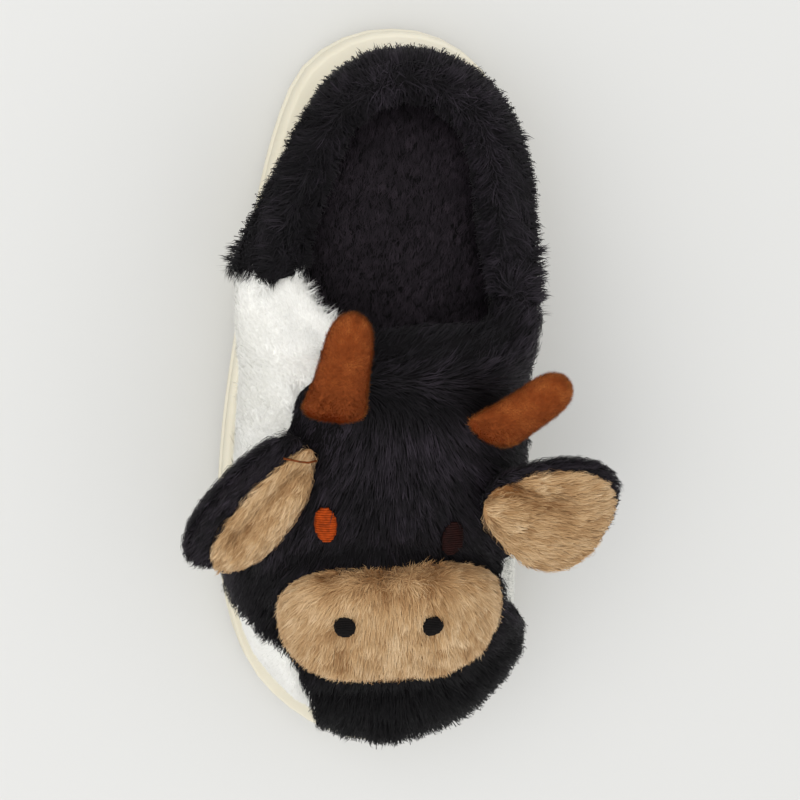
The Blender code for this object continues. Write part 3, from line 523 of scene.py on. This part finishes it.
def whiteSkin(place, normal):
    return isBare(place, normal) and not isDark(place, normal)


def darkLining(place, normal):
    return isBare(place, normal) and isDark(place, normal)


# The head: long black pile from a whorl at the crown, forwards over the face and back over the throat
headPile = {
    **longPile,
    "count": 60000,
    "length": 0.0080,
    "width": 0.00032,
    "locks": 2300,
    "seed": 11,
    "loose": (((0.330, 0.940), 0.016),),
    "short": (((0.468, 0.245), 0.024, 0.35),),
}
head = {
    "shrink": 0.0010,
    # Painted shade: the hairs across the toe are darkened, as the toe is turned away from the light
    "toePaintedShade": ((((0.930, 0.250), (0.960, 0.480), (0.930, 0.800)), 0.030, 1.05),),
    "whorl": (-0.008, 0.014),  # where the pile turns back, from the crown to the heel
    "spread": 0.034,
    "aside": -0.35,  # the most that the pile ahead leans out
    "drop": 0.3,
    "back": 0.26 * math.pi,
    "patchFrom": -0.75,  # beyond it, behind the left horn, the pile lies along the edge of the white patch
    "alongPatch": -0.45 * math.pi,
    "creaseShade": 0.35,
    "creases": (
        (((0.374, 0.400), (0.397, 0.535), (0.395, 0.684), (0.384, 0.845)), 0.0060, 0.0022),
        (((0.444, 0.461), (0.457, 0.593), (0.452, 0.745)), 0.0070, 0.0014),
        (((0.696, 0.171), (0.664, 0.243), (0.651, 0.499), (0.671, 0.767), (0.710, 0.883)), 0.0055, 0.0018),
        (((0.681, 0.094), (0.735, 0.147), (0.770, 0.180)), 0.0050, 0.0014),
        (((0.871, 0.315), (0.876, 0.534), (0.866, 0.758), (0.811, 0.917)), 0.0050, 0.0016),
    ),
}


def combHead(roots, normals):
    across = (roots[:, 0] - crown[0]) / head["spread"]
    turned = smoothStep(roots[:, 1] - crown[1], *head["whorl"])
    ahead = np.arctan2(-1.0, np.maximum(across, head["aside"]))
    back = np.where(across < head["patchFrom"], head["alongPatch"], head["back"])
    angle = ahead + (back - ahead) * turned
    return np.stack([np.cos(angle), np.sin(angle), np.full(len(roots), -head["drop"])], axis=1)


made = softCopy("fur_head", head["shrink"], head["creases"], "blackGround")
look = {**headPile, "paintedShade": head["toePaintedShade"] + paintedCreaseShade(head["creases"], head["creaseShade"])}
growPile("fur_head_pile", Ground(made, outerSkin), combHead, look, "blackPile")

# The collar: pile out and down over its outside, in and down over its inside, and always a little to the toe
collarPile = {
    **longPile,
    "count": 56000,
    "length": 0.0074,
    "width": 0.00034,
    "locks": 1700,
    "seed": 12,
    "stray": 0.22,
    "lift": 0.42,
    "laid": 0.88,
    "wild": 0.75,
    "loose": (((0.318, 0.940), 0.016), ((0.290, 0.110), 0.012)),
    # Painted shade: darker hairs along the outer side of the heel
    "paintedShade": ((((0.290, 0.130), (0.180, 0.180), (0.090, 0.280)), 0.016, 0.30),),
}
collar = {
    "shrink": 0.0014,
    "outwards": 0.40,
    "over": 1.2,  # how much the pile follows the faces to either side
    "toToe": 0.40,
    "drop": 0.8,
    "creases": (
        (((0.300, 0.930), (0.230, 0.925), (0.160, 0.900)), 0.0060, 0.0012),
        (((0.300, 0.090), (0.250, 0.120), (0.190, 0.150)), 0.0060, 0.0014),
    ),
}


def combCollar(roots, normals):
    share = np.clip((heelMiddle[1] - roots[:, 1]) / (heelMiddle[1] - throatMiddle[1]), 0, 1)[:, None]
    middle = heelMiddle * (1 - share) + throatMiddle * share
    out = unit((roots - middle) * inPlan)
    over = normals * inPlan * collar["over"]
    return out * collar["outwards"] + over + [0, -collar["toToe"], -collar["drop"]]


made = softCopy("fur_collar", collar["shrink"], collar["creases"], "blackGround")
growPile("fur_collar_pile", Ground(made, outerSkin), combCollar, collarPile, "blackPile")

# The muzzle: fine tan pile, up over its top edge, down its front and out at its sides
muzzlePile = {
    **longPile,
    "count": 40000,
    "length": 0.0062,
    "width": 0.00024,
    "locks": 800,
    "seed": 13,
    "lift": 0.34,
    "gather": 0.45,
    "sparkle": 0.20,
    "laid": 0.50,
}
muzzle = {
    "shrink": 0.0012,
    # Painted shade: darker hairs along the muzzle's top edge, in the crease under the head's pile
    "topPaintedShade": ((((0.688, 0.270), (0.688, 0.500), (0.694, 0.740)), 0.0060, 0.25),),
    "parting": 0.020,  # from the middle to the line where the pile turns up
    "partingWidth": 0.009,
    "sides": 1.1,
    "fanAt": 0.60,
    "fan": 0.24,
    "upwards": 0.8,
    "drop": 0.35,
    "creaseShade": 0.25,
    "creases": (
        (((0.748, 0.372), (0.802, 0.371)), 0.0035, 0.0016),
        (((0.752, 0.634), (0.812, 0.655)), 0.0035, 0.0016),
        (((0.678, 0.331), (0.702, 0.345)), 0.0040, 0.0012),
        (((0.678, 0.498), (0.700, 0.495)), 0.0040, 0.0012),
        (((0.680, 0.639), (0.704, 0.617)), 0.0040, 0.0010),
    ),
}


def combMuzzle(roots, normals):
    out = (roots[:, 0] - muzzleMiddle.x) / (muzzleHigh.x - muzzleLow.x) * 2
    up = np.tanh((roots[:, 1] - muzzleMiddle.y - muzzle["parting"]) / muzzle["partingWidth"])
    fan = np.tanh(out / muzzle["fanAt"]) * muzzle["fan"] * (1 - up * up)
    aside = out * np.abs(out) * muzzle["sides"] + fan
    rise = np.where(up > 0, up * muzzle["upwards"], up)
    return np.stack([aside, rise, -muzzle["drop"] * np.abs(out)], axis=1)


made = softCopy("muzzle", muzzle["shrink"], muzzle["creases"], "tanGround")
look = {**muzzlePile, "paintedShade": muzzle["topPaintedShade"] + paintedCreaseShade(muzzle["creases"], muzzle["creaseShade"])}
growPile("muzzle_pile", Ground(made, everywhere), combMuzzle, look, "tanPile")

# The footbed: short dense nap, brushed to the heel
footbed = {
    "creases": ((((0.230, 0.480), (0.300, 0.520), (0.360, 0.500)), 0.0120, 0.0010),),
    "brushed": (0.05, 1.0, 0.0),
}
footbedPile = {
    **shortPile,
    "count": 84000,
    "length": 0.0034,
    "width": 0.00030,
    "locks": 2600,
    "seed": 16,
    "lift": 0.75,
    "gather": 0.5,
    "stray": 0.4,
}


def combToHeel(roots, normals):
    return np.tile(footbed["brushed"], (len(roots), 1))


made = softCopy("insole", flush, footbed["creases"], "blackGround")
growPile("insole_pile", Ground(made, topOnly), combToHeel, footbedPile, "footbedPile")


# Outwards from one place in a node's box, such as the root of an ear
def combFrom(node, share):
    low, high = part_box(node)
    place = np.array([low[axis] + (high[axis] - low[axis]) * share[axis] for axis in range(3)])

    def comb(roots, normals):
        return unit(roots - place)

    return comb


# The ears: tan faces with a soft valley from the root, on black backs
earPile = {**longPile, "count": 15000, "length": 0.0058, "width": 0.00026, "locks": 280, "sparkle": 0.18}
earBackPile = {**earPile, "count": 12000, "width": 0.00032}
earShrink = {"face": 0.0006, "back": 0.0008}
earCreaseShade = 0.30
ears = {
    "ear_left": {
        "root": (1.5, 1.6, 0.9),
        "seed": 17,
        "creases": ((((0.535, 0.250), (0.550, 0.204), (0.587, 0.125), (0.620, 0.060)), 0.0050, 0.0022),),
    },
    "ear_right": {
        "root": (-0.6, 0.75, 0.9),
        "seed": 21,
        "creases": (
            (((0.574, 0.800), (0.580, 0.881), (0.597, 0.976), (0.606, 1.020)), 0.0060, 0.0024),
            (((0.565, 0.830), (0.575, 0.900)), 0.0035, 0.0012),
        ),
    },
}
for earName, ear in ears.items():
    comb = combFrom(f"{earName}_face", ear["root"])
    creases = ear["creases"]
    made = softCopy(f"{earName}_face", earShrink["face"], creases, "tanGround")
    look = {**earPile, "seed": ear["seed"], "paintedShade": paintedCreaseShade(creases, earCreaseShade)}
    growPile(f"{earName}_face_pile", Ground(made, everywhere), comb, look, "tanPile")
    made = softCopy(f"{earName}_back", earShrink["back"], creases, "blackGround")
    look = {**earBackPile, "seed": ear["seed"] + 1}
    growPile(f"{earName}_back_pile", Ground(made, everywhere), comb, look, "blackPile")

# The horns: stuffed velvet, puckered where they are sewn on
hornPile = {
    **shortPile,
    "count": 28000,
    "length": 0.0012,
    "width": 0.00016,
    "locks": 1500,
    "lift": 0.8,
    "gather": 0.10,
    "stray": 0.35,
    "sparkle": 0.20,
}
hornShrink = 0.0004
hornCreaseShade = 0.5
horns = {
    "horn_left": {
        "root": (0.4, 0.0, 0.0),
        "seed": 31,
        "creases": (
            (((0.428, 0.262), (0.440, 0.300), (0.452, 0.330)), 0.0026, 0.0011),
            (((0.465, 0.330), (0.430, 0.345), (0.405, 0.340)), 0.0036, 0.0008),
        ),
    },
    "horn_right": {
        "root": (0.0, 0.0, 0.0),
        "seed": 32,
        "creases": ((((0.500, 0.735), (0.480, 0.790)), 0.0030, 0.0008),),
    },
}
for hornName, horn in horns.items():
    made = softCopy(hornName, hornShrink, horn["creases"], "rustGround")
    look = {**hornPile, "seed": horn["seed"], "paintedShade": paintedCreaseShade(horn["creases"], hornCreaseShade)}
    comb = combFrom(hornName, horn["root"])
    growPile(f"{hornName}_pile", Ground(made, everywhere), comb, look, "rustPile")

# The padded wall: white plush outside, dark lining inside, and longer white tips where it meets black
whitePile = {
    **shortPile,
    "count": 84000,
    "length": 0.0023,
    "width": 0.00028,
    "locks": 1500,
    "seed": 14,
    "sparkle": 0.04,
    "gather": 0.12,
    "stray": 0.35,
    "uneven": 0.12,
    "lift": 0.45,
}
liningPile = {**shortPile, "count": 26000, "length": 0.0050, "width": 0.00042, "locks": 900, "seed": 15}
fringePile = {
    **shortPile,
    "count": 5000,
    "length": 0.0052,
    "width": 0.00030,
    "locks": 420,
    "seed": 23,
    "lift": 0.50,
    "gather": 0.6,
}
wall = {
    # Painted shade: the white on the inner side, beside the muzzle under the right ear, is darkened to grey
    "innerPaintedShade": ((((0.690, 0.920), (0.730, 0.945), (0.770, 0.950)), 0.0110, 1.25),),
    "toHeel": (-0.25, 1.0, -0.25),
    "overToe": (0.0, -0.4, -0.8),
    "turn": 0.02,  # from the cheeks back, where one way becomes the other
    "fringeReach": 0.0050,
    "fringeRise": 0.3,
    "foldFrom": (0.795, 0.225),
    "creaseShade": 0.45,
    "creases": (
        (((0.800, 0.232), (0.850, 0.262), (0.905, 0.285)), 0.0040, 0.0020),
        (((0.500, 0.215), (0.476, 0.160), (0.486, 0.100)), 0.0060, 0.0016),
        (((0.372, 0.105), (0.413, 0.090), (0.449, 0.120)), 0.0090, 0.0010),
        (((0.900, 0.200), (0.860, 0.150)), 0.0060, 0.0008),
    ),
}
fold = onSole(*wall["foldFrom"])


def combWhite(roots, normals):
    back = smoothStep(roots[:, 1], cheekLine[1], cheekLine[1] + wall["turn"])[:, None]
    return back * wall["toHeel"] + (1 - back) * (normals * inPlan + wall["overToe"])


# From the white towards the black that it meets
def combFringe(roots, normals):
    found = np.array([blackEdge.find(root)[0] for root in roots.tolist()])
    return unit(found - roots) + normals * wall["fringeRise"]


# White plush beside black, behind the ears and on the fold at the toe
def byBlack(place, normal):
    onFold = place.y < fold[1] and place.x > fold[0]
    if place.y < earLine[1] and not onFold:
        return False
    return blackEdge.find(place)[2] < wall["fringeReach"] and whiteSkin(place, normal)


made = softCopy("upper", flush, wall["creases"], "whiteGround")
made.data.materials.append(materials["blackGround"])
for face in made.data.polygons:
    face.material_index = 1 if isDark(face.center, face.normal) else 0
darkSpots = [face.center for face in made.data.polygons if face.material_index]
blackSpots = [spot for spot in darkSpots if spot.z > soleHigh.z]
for node in ("fur_head", "fur_collar"):
    blackSpots += [vertex.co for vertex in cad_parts[node].data.vertices]
blackEdge = KDTree(len(blackSpots))
for index, spot in enumerate(blackSpots):
    blackEdge.insert(spot, index)
blackEdge.balance()
look = {**whitePile, "paintedShade": wall["innerPaintedShade"] + paintedCreaseShade(wall["creases"], wall["creaseShade"])}
growPile("upper_pile", Ground(made, whiteSkin), combWhite, look, "whitePile")
growPile("fringe_pile", Ground(made, byBlack), combFringe, fringePile, "whitePile")
growPile("lining_pile", Ground(made, darkLining), combToHeel, liningPile, "blackPile")

# Thread: satin stitch on the eyes and nostrils, and the stitch that holds the left ear
thread = {
    "grain": 700.0,
    "shaded": 0.5,
    "from": 0.3,
    "to": 0.72,
    "sides": 6,
    "tuck": 3,
    "steps": 10,
    "slant": 0.15,
    "fewest": 4,
}
threadGloss = {"roughness": 0.60, "specular": 0.10, "sheen": 0.0}


def threadMaterial(name, color):
    made, tree, shader = newMaterial(name)
    stops = ((thread["from"], darker(color, thread["shaded"])), (thread["to"], color))
    tone = ramp(tree, noise(tree, thread["grain"]), stops)
    tree.links.new(tone, shader.inputs["Base Color"])
    setGloss(shader, threadGloss)
    return made


def ringEdges(ring):
    return list({edge for vertex in ring for edge in vertex.link_edges if edge.other_vert(vertex) in ring})


# A thread along a line of places, with both ends tucked in
def addThread(shape, line, radius):
    tuck = down * radius * thread["tuck"]
    line = [line[0] + tuck, *line, line[-1] + tuck]
    rings = []
    for before, place, after in zip(line[:1] + line, line, line[1:] + line[-1:]):
        turn = Matrix.Translation(place) @ (after - before).to_track_quat("Z", "Y").to_matrix().to_4x4()
        circle = bmesh.ops.create_circle(shape, segments=thread["sides"], radius=radius, matrix=turn)
        rings.append(circle["verts"])
    for near, far in zip(rings, rings[1:]):
        bmesh.ops.bridge_loops(shape, edges=ringEdges(near) + ringEdges(far))
    for ring in (rings[0], rings[-1]):
        shape.faces.new(ring)


def threadPiece(name, lines, radius, finish):
    shape = bmesh.new()
    for line in lines:
        addThread(shape, line, radius)
    bmesh.ops.recalc_face_normals(shape, faces=shape.faces)
    mesh = bpy.data.meshes.new(name)
    shape.to_mesh(mesh)
    shape.free()
    mesh.shade_smooth()
    mesh.materials.append(finish)
    made = bpy.data.objects.new(name, mesh)
    bpy.context.scene.collection.objects.link(made)
    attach(made, "root")


# A curve of the second degree through a row of hits on a faceted pad
def smoothLine(line):
    places = np.array(line)
    curve = np.polyfit(places[:, 0], places[:, 1:], 2)
    steps = np.linspace(places[0, 0], places[-1, 0], len(line))
    return [Vector((x, *(curve[0] * x * x + curve[1] * x + curve[2]))) for x in steps]


# Rows of thread laid side by side over a small oval pad
def satinLines(node, pitch, draws):
    low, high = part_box(node)
    pad = treeOf(node)
    above = high.z + 0.01
    rows = int((high.y - low.y) / pitch)
    lines = []
    for row in range(rows):
        y = low.y + (row + 0.5) * (high.y - low.y) / rows
        slant = draws.uniform(-thread["slant"], thread["slant"]) * pitch
        line = []
        for step in range(thread["steps"] + 1):
            share = step / thread["steps"]
            start = Vector((low.x + (high.x - low.x) * share, y + slant * (2 * share - 1), above))
            hit = pad.ray_cast(start, down)[0]
            if hit:
                line.append(hit)
        if len(line) >= thread["fewest"]:
            lines.append(smoothLine(line))
    return lines


eye = {"pitch": 0.00082, "radius": 0.00040, "slot": "rust_thread"}
nostril = {"pitch": 0.00060, "radius": 0.00032, "slot": "black_thread"}
stitches = {
    "eye_left": {**eye, "color": linear(178, 70, 14)},
    # Painted shade: the right eye is the same rust thread as the left, painted near black-brown as though it
    # lay in shade; its pad is darker still
    "eye_right": {**eye, "color": linear(36, 12, 9)},
    "nostril_left": {**nostril, "color": linear(16, 12, 11)},
    "nostril_right": {**nostril, "color": linear(16, 12, 11)},
}
rowDraws = np.random.default_rng(41)
for node, stitch in stitches.items():
    finish = threadMaterial(f"{node}_stitch", stitch["color"])
    lines = satinLines(node, stitch["pitch"], rowDraws)
    threadPiece(f"{node}_stitches", lines, stitch["radius"], finish)
    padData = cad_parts[node].data
    padData.materials.clear()
    padData.materials.append(threadMaterial(f"{node}_pad", darker(stitch["color"], thread["shaded"])))
print("satin stitch")

earStitch = {
    "stops": ((0.517, 0.190), (0.519, 0.215), (0.521, 0.235), (0.523, 0.260), (0.524, 0.285)),
    "radius": 0.00035,
    "over": 0.0036,  # it lies on the pile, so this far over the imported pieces
    "color": linear(120, 62, 26),
}
earSeat = treeOf("fur_head", "ear_left_face", "ear_left_back", "upper")
line = []
for stop in earStitch["stops"]:
    hit = earSeat.ray_cast(Vector(onSole(*stop, 0.2)), down)[0]
    line.append(hit - down * earStitch["over"])
brownThread = threadMaterial("ear_thread", earStitch["color"])
threadPiece("ear_left_stitch", [line], earStitch["radius"], brownThread)
print("ear stitch")

# The foam sole, cream, darker towards the foot of its side
sole = {
    "crease": math.radians(70),
    "cream": ((0.35, linear(214, 207, 186)), (0.7, linear(230, 224, 206))),
    "clouds": 14.0,
    "footTone": linear(200, 193, 171),
    "footToneTo": 0.006,
    "shinesThrough": 0.08,
    "shineDepths": (0.004, 0.003, 0.002),
    "grain": 1400.0,
    "bump": (0.12, 0.0004),
}
foamGloss = {"roughness": 0.62, "specular": 0.30, "sheen": 0.0}


def soleFoam():
    made, tree, shader = newMaterial("cream_foam")
    place = addNode(tree, "ShaderNodeTexCoord").outputs["Object"]
    height = addNode(tree, "ShaderNodeSeparateXYZ", inputs={"Vector": place}).outputs["Z"]
    cream = ramp(tree, noise(tree, sole["clouds"], 4.0), sole["cream"])
    inputs = {"Value": height, "From Min": 0.0, "From Max": sole["footToneTo"]}
    aboveFoot = addNode(tree, "ShaderNodeMapRange", inputs=inputs).outputs["Result"]
    inputs = {"Factor": aboveFoot, "A": sole["footTone"], "B": cream}
    color = addNode(tree, "ShaderNodeMix", {"data_type": "RGBA"}, inputs).outputs["Result"]
    tree.links.new(color, shader.inputs["Base Color"])
    setGloss(shader, foamGloss)
    shader.inputs["Subsurface Weight"].default_value = sole["shinesThrough"]
    shader.inputs["Subsurface Radius"].default_value = sole["shineDepths"]
    bump(tree, shader, noise(tree, sole["grain"]), *sole["bump"])
    return made


# A merged copy of the sole, smooth all over but for its sharpest edges
def smoothSole():
    mesh, shape = mergedCopy("outsole")
    for face in shape.faces:
        face.smooth = True
    for edge in shape.edges:
        edge.smooth = edge.calc_face_angle(0.0) < sole["crease"]
    shape.to_mesh(mesh)
    shape.free()
    mesh.materials.clear()
    mesh.materials.append(soleFoam())
    made = bpy.data.objects.new("sole_foam", mesh)
    bpy.context.scene.collection.objects.link(made)
    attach(made, "root")
    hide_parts("outsole")


smoothSole()
print("sole")

# Floor, light and camera
studio = {
    "floor": linear(209, 209, 207),
    "floorSize": 3.0,
    "world": 1.10,
    "key": 7.0,
    "keySize": 1.5,
    "keyPlace": (-0.55, 0.20, 1.3),
    "target": (0.0014, -0.0904, 0.024),
    "distance": 0.625,
    "leanAcross": 7.0,
    "leanBack": 12.0,
    "lens": 76.0,
    "sensor": 36.0,
}


def floor():
    mesh = bpy.data.meshes.new("floor")
    shape = bmesh.new()
    bmesh.ops.create_grid(shape, x_segments=1, y_segments=1, size=studio["floorSize"])
    shape.to_mesh(mesh)
    shape.free()
    made, tree, shader = newMaterial("floor_paper")
    shader.inputs["Base Color"].default_value = studio["floor"]
    setGloss(shader, {"roughness": 1.0, "specular": 0.0, "sheen": 0.0})
    mesh.materials.append(made)
    thing = bpy.data.objects.new("floor", mesh)
    bpy.context.scene.collection.objects.link(thing)


def light():
    world = bpy.data.worlds.new("studio")
    bpy.context.scene.world = world
    world.use_nodes = True
    backdrop = world.node_tree.nodes["Background"]
    backdrop.inputs["Color"].default_value = white
    backdrop.inputs["Strength"].default_value = studio["world"]
    key = bpy.data.lights.new("window", "AREA")
    key.energy = studio["key"]
    key.size = studio["keySize"]
    lamp = bpy.data.objects.new("window", key)
    lamp.location = studio["keyPlace"]
    lamp.rotation_mode = "QUATERNION"
    lamp.rotation_quaternion = (Vector(studio["target"]) - lamp.location).to_track_quat("-Z", "Y")
    bpy.context.scene.collection.objects.link(lamp)


# From almost straight above, leaning a little to the outer side and the heel, with the heel at the top
def camera():
    across = -math.tan(math.radians(studio["leanAcross"]))
    back = math.tan(math.radians(studio["leanBack"]))
    toCamera = Vector((across, back, 1.0)).normalized()
    right = Vector((0, 1, 0)).cross(toCamera).normalized()
    lens = bpy.data.cameras.new("camera")
    lens.lens = studio["lens"]
    lens.sensor_width = studio["sensor"]
    made = bpy.data.objects.new("camera", lens)
    made.rotation_mode = "QUATERNION"
    turn = Matrix((right, toCamera.cross(right), toCamera)).transposed()
    made.rotation_quaternion = turn.to_quaternion()
    made.location = Vector(studio["target"]) + toCamera * studio["distance"]
    bpy.context.scene.collection.objects.link(made)
    bpy.context.scene.camera = made


floor()
light()
camera()
bpy.context.scene.view_settings.view_transform = "Standard"
print("floor, light and camera")
